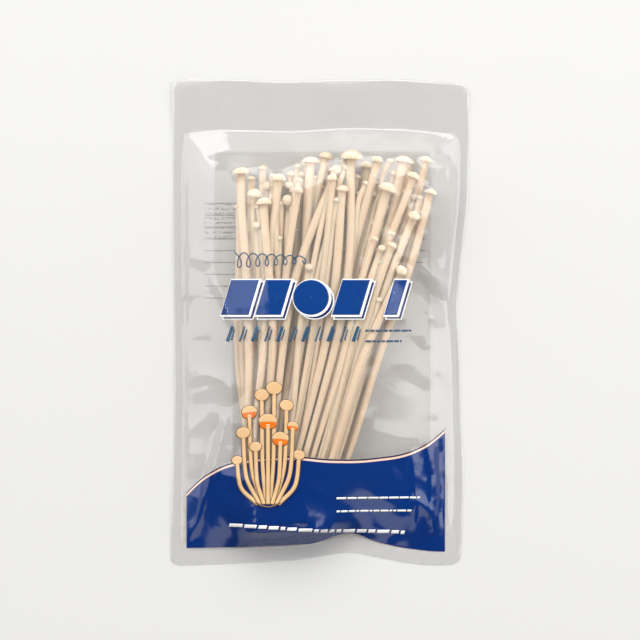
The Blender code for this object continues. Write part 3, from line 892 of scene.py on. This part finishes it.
def curve_height(tree, x, points):
    """The height of a smooth line over x, both in millimetres, as a Float Curve."""
    share = calc(tree, "MULTIPLY_ADD", x, 1.0 / CURVE_REACH, 0.5)
    node = tree.nodes.new("ShaderNodeFloatCurve")
    line = node.mapping.curves[0]
    places = [(px / CURVE_REACH + 0.5, py / CURVE_REACH + 1.0) for px, py in points]
    line.points[0].location = places[0]
    line.points[1].location = places[-1]
    for place in places[1:-1]:
        line.points.new(*place)
    node.mapping.update()
    tree.links.new(share, node.inputs["Value"])
    return calc(tree, "MULTIPLY_ADD", node.outputs[0], CURVE_REACH, -CURVE_REACH)


def above(tree, value, edge, softness):
    """0 below an edge and 1 above it, over a soft border, in millimetres."""
    return add_node(tree, "ShaderNodeMapRange",
                    {0: value, 1: edge - softness, 2: edge + softness}).outputs[0]


def both(tree, first, *others):
    for value in others:
        first = calc(tree, "MULTIPLY", first, value)
    return first


def inverse(tree, value):
    return calc(tree, "SUBTRACT", 1.0, value)


def below(tree, value, edge, softness):
    return inverse(tree, above(tree, value, edge, softness))


def within(tree, value, start, end, softness):
    return both(tree, above(tree, value, start, softness), below(tree, value, end, softness))


def film_group(name):
    """A group with the film's outputs, and its places: x and y in millimetres, and whole."""
    tree = bpy.data.node_groups.new(name, "ShaderNodeTree")
    for label, kind in (("Color", "Color"), ("Alpha", "Float"), ("Roughness", "Float")):
        tree.interface.new_socket(label, in_out="OUTPUT", socket_type="NodeSocket" + kind)
    place = object_place(tree)
    scaled = add_node(tree, "ShaderNodeVectorMath", {0: place, 1: (1.0 / MM,) * 3},
                      operation="MULTIPLY").outputs[0]
    x, y, _ = add_node(tree, "ShaderNodeSeparateXYZ", {0: scaled}).outputs
    return tree, x, y, place


def put_out(tree, colour, alpha, rough):
    end = tree.nodes.new("NodeGroupOutput")
    wire(tree, end, {"Color": colour, "Alpha": alpha, "Roughness": rough})
    return tree


def seal_mask(tree, x, y):
    """1 on the seals round the bag and 0 between the films."""
    side = above(tree, calc(tree, "ABSOLUTE", x), SEAL_X, 0.25)
    head = above(tree, y, SEAL_Y, 0.35)
    foot = above(tree, calc(tree, "SUBTRACT", curve_height(tree, x, BAND_FOOT), y), 0.6, 0.3)
    return calc(tree, "MAXIMUM", calc(tree, "MAXIMUM", side, head), foot)


# %% The films' node groups
def front_group():
    tree, x, y, place = film_group("front film print")
    seal = seal_mask(tree, x, y)
    narrowing = add_node(tree, "ShaderNodeMapRange", {0: y, 1: 22.0, 2: 2.0, 3: 0.0, 4: 8.0})
    left = calc(tree, "SUBTRACT", x, narrowing.outputs[0])
    inside = both(tree, above(tree, left, WINDOW_LEFT, 0.6), below(tree, x, WINDOW_RIGHT, 0.5),
                  below(tree, y, WINDOW_TOP, 0.4))
    milk = both(tree, inverse(tree, inside), inverse(tree, seal))
    cloud = noise(tree, place, 28.0, 3.0)
    haze = calc(tree, "MULTIPLY_ADD", cloud, 0.9, 0.55)
    alpha = calc(tree, "MULTIPLY_ADD", milk, MILK_ALPHA, CLEAR_ALPHA)
    alpha = calc(tree, "MULTIPLY_ADD", seal, SEAL_ALPHA, alpha)
    alpha = calc(tree, "MULTIPLY", alpha, haze)
    colour = blend_colours(tree, milk, CLEAR_COLOUR, MILK_COLOUR)
    colour = blend_colours(tree, seal, colour, SEAL_COLOUR)
    over = calc(tree, "SUBTRACT", y, curve_height(tree, x, BAND_TOP))
    under = calc(tree, "SUBTRACT", y, curve_height(tree, x, BAND_FOOT))
    printed = both(tree, within(tree, x, BAND_LEFT, BAND_RIGHT, CRISP),
                   above(tree, under, 0.0, CRISP))
    deep = blend_colours(tree, noise(tree, place, 16.0, 2.0), BLUE, BLUE_LIGHT)
    navy = both(tree, printed, below(tree, over, NAVY_LINE, CRISP))
    for line, ink in ((NAVY_LINE, NAVY), (CREAM_LINE, CREAM), (0.0, deep)):
        colour = blend_colours(tree, both(tree, printed, below(tree, over, line, CRISP)), colour, ink)
    return put_out(tree, colour, calc(tree, "MAXIMUM", alpha, navy),
                   calc(tree, "MULTIPLY_ADD", cloud, 0.2, 0.18))


# The back film's label and a smaller one beside it, with their ruled lines and rows of grey.
LABEL_X = (-50.7, -16.0)
LABEL_Y = (8.0, 53.0)
SIDE_LABEL_X = (36.0, 46.0)
SIDE_LABEL_Y = (26.0, 46.0)
RULE_STEP = 5.2
TEXT_STEP = 2.1
LABEL_ALPHA = 0.22
LABEL_GREY = (0.06, 0.06, 0.07, 1.0)


def back_group():
    tree, x, y, place = film_group("back film print")
    seal = seal_mask(tree, x, y)
    lines = calc(tree, "FRACT", calc(tree, "MULTIPLY", y, 1.0 / RULE_STEP))
    rule = below(tree, lines, 0.10, 0.03)
    block = both(tree, within(tree, x, *LABEL_X, 0.3), within(tree, y, *LABEL_Y, 0.3))
    words = noise(tree, place, 900.0, 1.0)
    rows = calc(tree, "FRACT", calc(tree, "MULTIPLY", y, 1.0 / TEXT_STEP))
    text = both(tree, above(tree, words, 0.52, 0.04), above(tree, rows, 0.5, 0.1),
                below(tree, x, -29.0, 4.0), above(tree, y, 36.0, 0.3))
    other = both(tree, within(tree, x, *SIDE_LABEL_X, 0.3), within(tree, y, *SIDE_LABEL_Y, 0.3))
    label = both(tree, block, calc(tree, "MAXIMUM", rule, text))
    label = calc(tree, "MAXIMUM", label, both(tree, other, rule))
    alpha = calc(tree, "MULTIPLY_ADD", seal, SEAL_ALPHA * 0.5, CLEAR_ALPHA)
    alpha = calc(tree, "MULTIPLY_ADD", label, LABEL_ALPHA, alpha)
    colour = blend_colours(tree, seal, CLEAR_COLOUR, SEAL_COLOUR)
    return put_out(tree, blend_colours(tree, label, colour, LABEL_GREY), alpha,
                   calc(tree, "MULTIPLY_ADD", words, 0.1, 0.2))


# %% Film materials
GLOSS_ROUGHNESS = 0.15
FILM_IOR = 1.55


def film_material(name, group):
    material, tree, shader = new_material(name)
    printed = add_node(tree, "ShaderNodeGroup", node_tree=group)
    crinkle = noise(tree, object_place(tree), 150.0, 3.0, Distortion=0.6)
    bump = bumped(tree, crinkle, 0.18, 0.6 * MM)
    wire(tree, shader, {"Specular IOR Level": 0.0, "Base Color": printed.outputs["Color"],
                        "Alpha": printed.outputs["Alpha"],
                        "Roughness": printed.outputs["Roughness"], "Normal": bump})
    gloss = add_node(tree, "ShaderNodeBsdfGlossy", {"Roughness": GLOSS_ROUGHNESS,
                                                    "Color": (1.0, 1.0, 1.0, 1.0),
                                                    "Normal": bump})
    slant = add_node(tree, "ShaderNodeFresnel", {"IOR": FILM_IOR, "Normal": bump})
    inner = add_node(tree, "ShaderNodeNewGeometry").outputs["Backfacing"]
    share = both(tree, slant.outputs[0], inverse(tree, inner))
    mix = add_node(tree, "ShaderNodeMixShader", {0: share, 1: shader.outputs[0],
                                                 2: gloss.outputs[0]})
    end = [node for node in tree.nodes if node.type == "OUTPUT_MATERIAL"][0]
    tree.links.new(mix.outputs[0], end.inputs["Surface"])
    return material


hand_over(front, "film", film_material("front film", front_group()), "front_film")
hand_over(back, "film", film_material("back film", back_group()), "back_film")
print("front film and back film have their finishes")

# %% [markdown]
# ## Ink
# The rest of the print is laid on the front film as thin pieces of ink, which follow its folds:
# slanted blocks with a white edge and a dark shadow where a title would stand, rows of small
# dashes for the lines below it, and a simple drawing of a bunch. Each piece is a strip along a
# line or an oval, cut so fine that it can be bent over the film, and lies a hair above the
# piece before it.

# %% Ink on the film
INK_GAP = 0.14
INK_STEP = 0.03
INK_THICKNESS = 0.012
INK_CELL = 0.45
OVAL_SIDES = 28
INK_ROUGHNESS = 0.22


def film_top(x, y):
    """The height of the front film's upper side at places in millimetres."""
    u, v = outline_shares(x, y)
    across = numpy.clip(u * COLUMNS, 0.0, COLUMNS - 1e-6)
    along = numpy.clip(v * ROWS, 0.0, ROWS - 1e-6)
    i = across.astype(int)
    j = along.astype(int)
    a = across - i
    b = along - j
    return (front_heights[j, i] * (1 - a) * (1 - b) + front_heights[j, i + 1] * a * (1 - b)
            + front_heights[j + 1, i] * (1 - a) * b + front_heights[j + 1, i + 1] * a * b) + FILM


class Ink:
    """Collects the shapes of one colour and turns them into one mesh on the film."""

    def __init__(self):
        self.places = []
        self.faces = []

    def add_grid(self, x, y, level, closed=False):
        start = sum(len(part) for part in self.places)
        z = film_top(x, y) + INK_GAP + level * INK_STEP
        self.places.append(numpy.stack([x, y, z], axis=-1).reshape(-1, 3))
        rows, columns = x.shape
        for i in range(rows - 1):
            for j in range(columns if closed else columns - 1):
                k = (j + 1) % columns
                self.faces.append((start + i * columns + j, start + i * columns + k,
                                   start + (i + 1) * columns + k, start + (i + 1) * columns + j))

    def strip(self, points, width, level, taper=1.0):
        """A strip of a width along a smooth line; it ends at taper times that width."""
        line = smooth_line([Vector((px, py, 0.0)) for px, py in points],
                           (Vector((*points[-1], 0.0)) - Vector((*points[-2], 0.0))).normalized())
        flat = numpy.array([place[:2] for place in line])
        steps = numpy.hypot(*numpy.diff(flat, axis=0).T)
        passed = numpy.concatenate([[0.0], numpy.cumsum(steps)])
        count = max(int(passed[-1] / INK_CELL), 2) + 1
        at = numpy.linspace(0.0, passed[-1], count)
        x = numpy.interp(at, passed, flat[:, 0])
        y = numpy.interp(at, passed, flat[:, 1])
        way_x = numpy.gradient(x)
        way_y = numpy.gradient(y)
        size = numpy.hypot(way_x, way_y)
        half = width / 2.0 * numpy.interp(at, [0.0, passed[-1]], [1.0, taper])
        columns = max(int(width / INK_CELL), 1) + 1
        side = numpy.linspace(1.0, -1.0, columns)[None, :]
        self.add_grid(x[:, None] - (way_y / size * half)[:, None] * side,
                      y[:, None] + (way_x / size * half)[:, None] * side, level)

    def oval(self, x, y, across, along, turn, level, start=0.0, end=math.tau):
        """An oval, or the part of one between two angles, as rings round its middle."""
        rings = max(int(max(across, along) / INK_CELL), 1) + 1
        whole = end - start >= math.tau
        angles = numpy.linspace(end, start, OVAL_SIDES + 1)
        if whole:
            angles = angles[:-1]
        reach = numpy.linspace(1.0, 0.001, rings + 1)[:, None]
        px = numpy.cos(angles)[None, :] * across * reach
        py = numpy.sin(angles)[None, :] * along * reach
        self.add_grid(x + px * math.cos(turn) - py * math.sin(turn),
                      y + px * math.sin(turn) + py * math.cos(turn), level, closed=whole)

    def block(self, x, y, width, height, slant, level):
        """A slanted block round its middle."""
        across = numpy.linspace(-0.5, 0.5, max(int(width / INK_CELL), 1) + 1)[None, :]
        along = numpy.linspace(-0.5, 0.5, max(int(height / INK_CELL), 1) + 1)[:, None]
        self.add_grid(x + across * width + along * height * slant,
                      y + along * height + across * 0.0, level)

    def make(self, name, colour, second):
        mesh = bpy.data.meshes.new(name)
        mesh.from_pydata((numpy.concatenate(self.places) * MM).tolist(), [], self.faces)
        piece = new_object(name, mesh)
        thicken(piece, INK_THICKNESS * MM)
        material, tree, shader = new_material(name)
        speckle = noise(tree, object_place(tree), 320.0, 3.0)
        wire(tree, shader, {"Base Color": blend_colours(tree, speckle, colour, second),
                            "Roughness": INK_ROUGHNESS})
        hand_over(piece, "film", material)
        return piece


# %% Title blocks and lines
TITLE = ((-34.8, 12.2, 0.30), (-20.2, 11.0, 0.30), (-3.9, 15.6, None), (13.4, 12.0, 0.30),
         (32.8, 5.6, 0.30))
TITLE_Y = 10.8
TITLE_HEIGHT = 15.2
EDGE = 0.7
SHADOW = (1.5, -1.3)
# From the lowest: ink, how far it stands out past the block, and its shift.
TITLE_LAYERS = (("white", EDGE * 1.2, SHADOW), ("navy", EDGE * 0.4, SHADOW),
                ("white", EDGE, (0.4, -0.3)), ("blue", 0.0, (0.0, 0.0)))

INK_COLOURS = dict(
    white=((0.78, 0.77, 0.75, 1.0), (0.72, 0.71, 0.70, 1.0)),
    navy=((0.004, 0.012, 0.085, 1.0), (0.006, 0.016, 0.10, 1.0)),
    blue=((0.0010, 0.030, 0.160, 1.0), (0.0016, 0.040, 0.190, 1.0)),
    slate=((0.010, 0.055, 0.115, 1.0), (0.018, 0.070, 0.14, 1.0)),
    peach=((0.66, 0.43, 0.22, 1.0), (0.60, 0.38, 0.19, 1.0)),
    brown=((0.13, 0.07, 0.030, 1.0), (0.17, 0.09, 0.04, 1.0)),
    orange=((0.70, 0.16, 0.008, 1.0), (0.62, 0.12, 0.006, 1.0)))

inks = {name: Ink() for name in INK_COLOURS}


def title_shape(ink, x, width, slant, grow, shift, level):
    if slant is None:
        ink.oval(x + shift[0], TITLE_Y + shift[1], width / 2.0 + grow,
                 TITLE_HEIGHT / 2.0 + grow, 0.0, level)
    else:
        ink.block(x + shift[0], TITLE_Y + shift[1], width + 2.0 * grow,
                  TITLE_HEIGHT + 2.0 * grow, slant, level)


for x, width, slant in TITLE:
    for level, (name, grow, shift) in enumerate(TITLE_LAYERS):
        title_shape(inks[name], x, width, slant, grow, shift, level)


def dashes(ink, left, right, y, height, shortest, longest, slope=0.0, wave=0.0):
    """A row of short strokes between two places, as a line of small print."""
    x = left
    while x < right:
        long = min(chance.uniform(shortest, longest), right - x)
        if long > 0.5 * shortest:
            middle = x + long / 2.0
            rise = (middle - left) * slope + wave * math.sin((middle - left) / 9.0)
            ink.block(middle, y + rise, long, height, 0.25, 4)
        x += long + height * 0.55


def grains(ink, left, right, y, height, count):
    """A row of slanted pointed strokes, thick and thin by turns."""
    step = (right - left) / count
    for number in range(count):
        x = left + (number + 0.5) * step
        thick = 1.5 if number % 2 == 0 else 0.8
        lean = height * 0.17
        ink.strip(((x - lean, y - height / 2.0), (x, y), (x + lean, y + height / 2.0)), thick, 4,
                  taper=0.8)
        ink.strip(((x + height * 0.1, y - height * 0.42), (x + height * 0.3, y + height * 0.3)),
                  0.6, 4)


grains(inks["slate"], -41.9, 18.2, -5.0, 6.6, 11)
for y in (-3.6, -8.2):
    dashes(inks["slate"], 19.6, 39.7 if y > -5.0 else 35.5, y, 0.9, 1.2, 4.2)
for y in (-76.6, -82.4):
    dashes(inks["white"], 7.2, 43.7 if y > -80.0 else 40.0, y, 0.85, 1.0, 4.5)
dashes(inks["white"], -39.7, 37.1, -88.6, 1.5, 2.0, 6.0, slope=-0.05, wave=0.3)
FLOURISH = tuple((-37.0 + step * 1.0 + 1.6 * math.sin(step * 1.57),
                  27.0 + (3.4 - step * 0.06) * math.cos(step * 1.57)) for step in range(32))
inks["slate"].strip(FLOURISH, 0.5, 4)
print("title blocks and small lines laid")

# %% Drawing of a bunch
DRAWN_FOOT = (-22.6, -79.0)
DRAWN_COUNT = 11
DRAWN_SPREAD = 13.5
DRAWN_HEIGHTS = (19.0, 31.0, 40.0, 25.0, 47.5, 36.0, 50.5, 28.5, 43.0, 34.0, 21.5)
DRAWN_CAPS = (2.3, 3.0, 3.4, 2.6, 3.1, 4.0, 3.4, 3.6, 2.9, 2.4, 2.5)
DRAWN_ORDER = (2, 4, 6, 8, 0, 10, 1, 9, 5, 3, 7)
WITH_GILLS = (2, 5, 7, 9)
OUTLINE = 0.3
STEM_WIDTH = 1.5



def drawn_oval(fill, centre, across, along, turn, levels, *ends):
    """An oval of one ink with a brown line round it."""
    inks["brown"].oval(*centre, across + OUTLINE, along + OUTLINE, turn, levels[0], *ends)
    inks[fill].oval(*centre, across, along, turn, levels[1], *ends)


foot_x, foot_y = DRAWN_FOOT
for place, number in enumerate(DRAWN_ORDER):
    level = 5 + place
    side = number / (DRAWN_COUNT - 1) * 2.0 - 1.0
    height = DRAWN_HEIGHTS[number]
    size = DRAWN_CAPS[number]
    cap = (foot_x + side * DRAWN_SPREAD, foot_y + height)
    neck = (cap[0], cap[1] - size * 0.3)
    bulge = (foot_x + side * DRAWN_SPREAD * 0.9, foot_y + height * 0.42)
    line = ((foot_x + side * 4.5, foot_y), bulge, neck)
    inks["brown"].strip(line, STEM_WIDTH + 2.0 * OUTLINE, level)
    inks["peach"].strip(line, STEM_WIDTH, level + 0.35)
    dome = (0.0, math.tau)
    if number in WITH_GILLS:
        drawn_oval("orange", neck, size * 0.9, size * 0.5, -side * 0.2,
                   (level + 0.45, level + 0.55))
        dome = (-0.12, math.pi + 0.12)
    drawn_oval("peach", cap, size, size * 0.8, -side * 0.2, (level + 0.65, level + 0.8), *dome)
inks["brown"].strip(((-28.0, -78.2), (-25.0, -79.8), (-20.2, -79.8), (-17.2, -78.2)), 0.6, 18)

for name, ink in inks.items():
    piece = ink.make(f"{name}_ink", *INK_COLOURS[name])
    print(name, "ink:", len(piece.data.polygons), "faces")

# %% [markdown]
# ## Floor and light
# The pack lies on a plain white table. The light is soft and comes from all round, with a broad
# panel low on either side: the sloping flanks of the film mirror the panels and turn white,
# while its flat middle mirrors the darker ceiling and stays clear.

# %% Floor
FLOOR_COLOUR = (0.53, 0.525, 0.516, 1.0)
FLOOR_LIGHTER = (0.54, 0.535, 0.526, 1.0)

deselect()
bpy.ops.mesh.primitive_plane_add(size=3.0, location=(0.0, 0.0, -0.0001))
floor = bpy.context.object
floor.name = "table_top"
paint, tree, shader = new_material("table white")
mottle = noise(tree, object_place(tree), 6.0, 2.0)
wire(tree, shader, {"Base Color": blend_colours(tree, mottle, FLOOR_COLOUR, FLOOR_LIGHTER),
                    "Roughness": 0.85})
floor.data.materials.append(paint)
print("table top", tuple(floor.dimensions))

# %% Lights
SKY = 0.09
PANELS = (
    ("left panel", (-1.3, 0.3, 0.9), (1.1, 2.4), 19.0),
    ("right panel", (1.3, 0.2, 0.9), (1.1, 2.4), 26.0),
    ("far panel", (0.0, 1.6, 1.3), (3.2, 1.4), 72.0),
    ("near panel", (0.0, -1.5, 0.95), (2.4, 0.8), 9.0),
)


def add_panel(name, location, size, power):
    bpy.ops.object.light_add(type="AREA", location=location)
    lamp = bpy.context.object
    lamp.name = name
    lamp.data.shape = "RECTANGLE"
    lamp.data.size, lamp.data.size_y = size
    lamp.data.energy = power
    lamp.rotation_euler = (-Vector(location)).to_track_quat("-Z", "Y").to_euler()
    return lamp


world = bpy.data.worlds.new("soft room")
bpy.context.scene.world = world
world.use_nodes = True
sky = world.node_tree.nodes["Background"]
sky.inputs["Color"].default_value = (1.0, 0.995, 0.985, 1.0)
sky.inputs["Strength"].default_value = SKY
panels = [add_panel(*panel) for panel in PANELS]
print(len(panels), "panels")
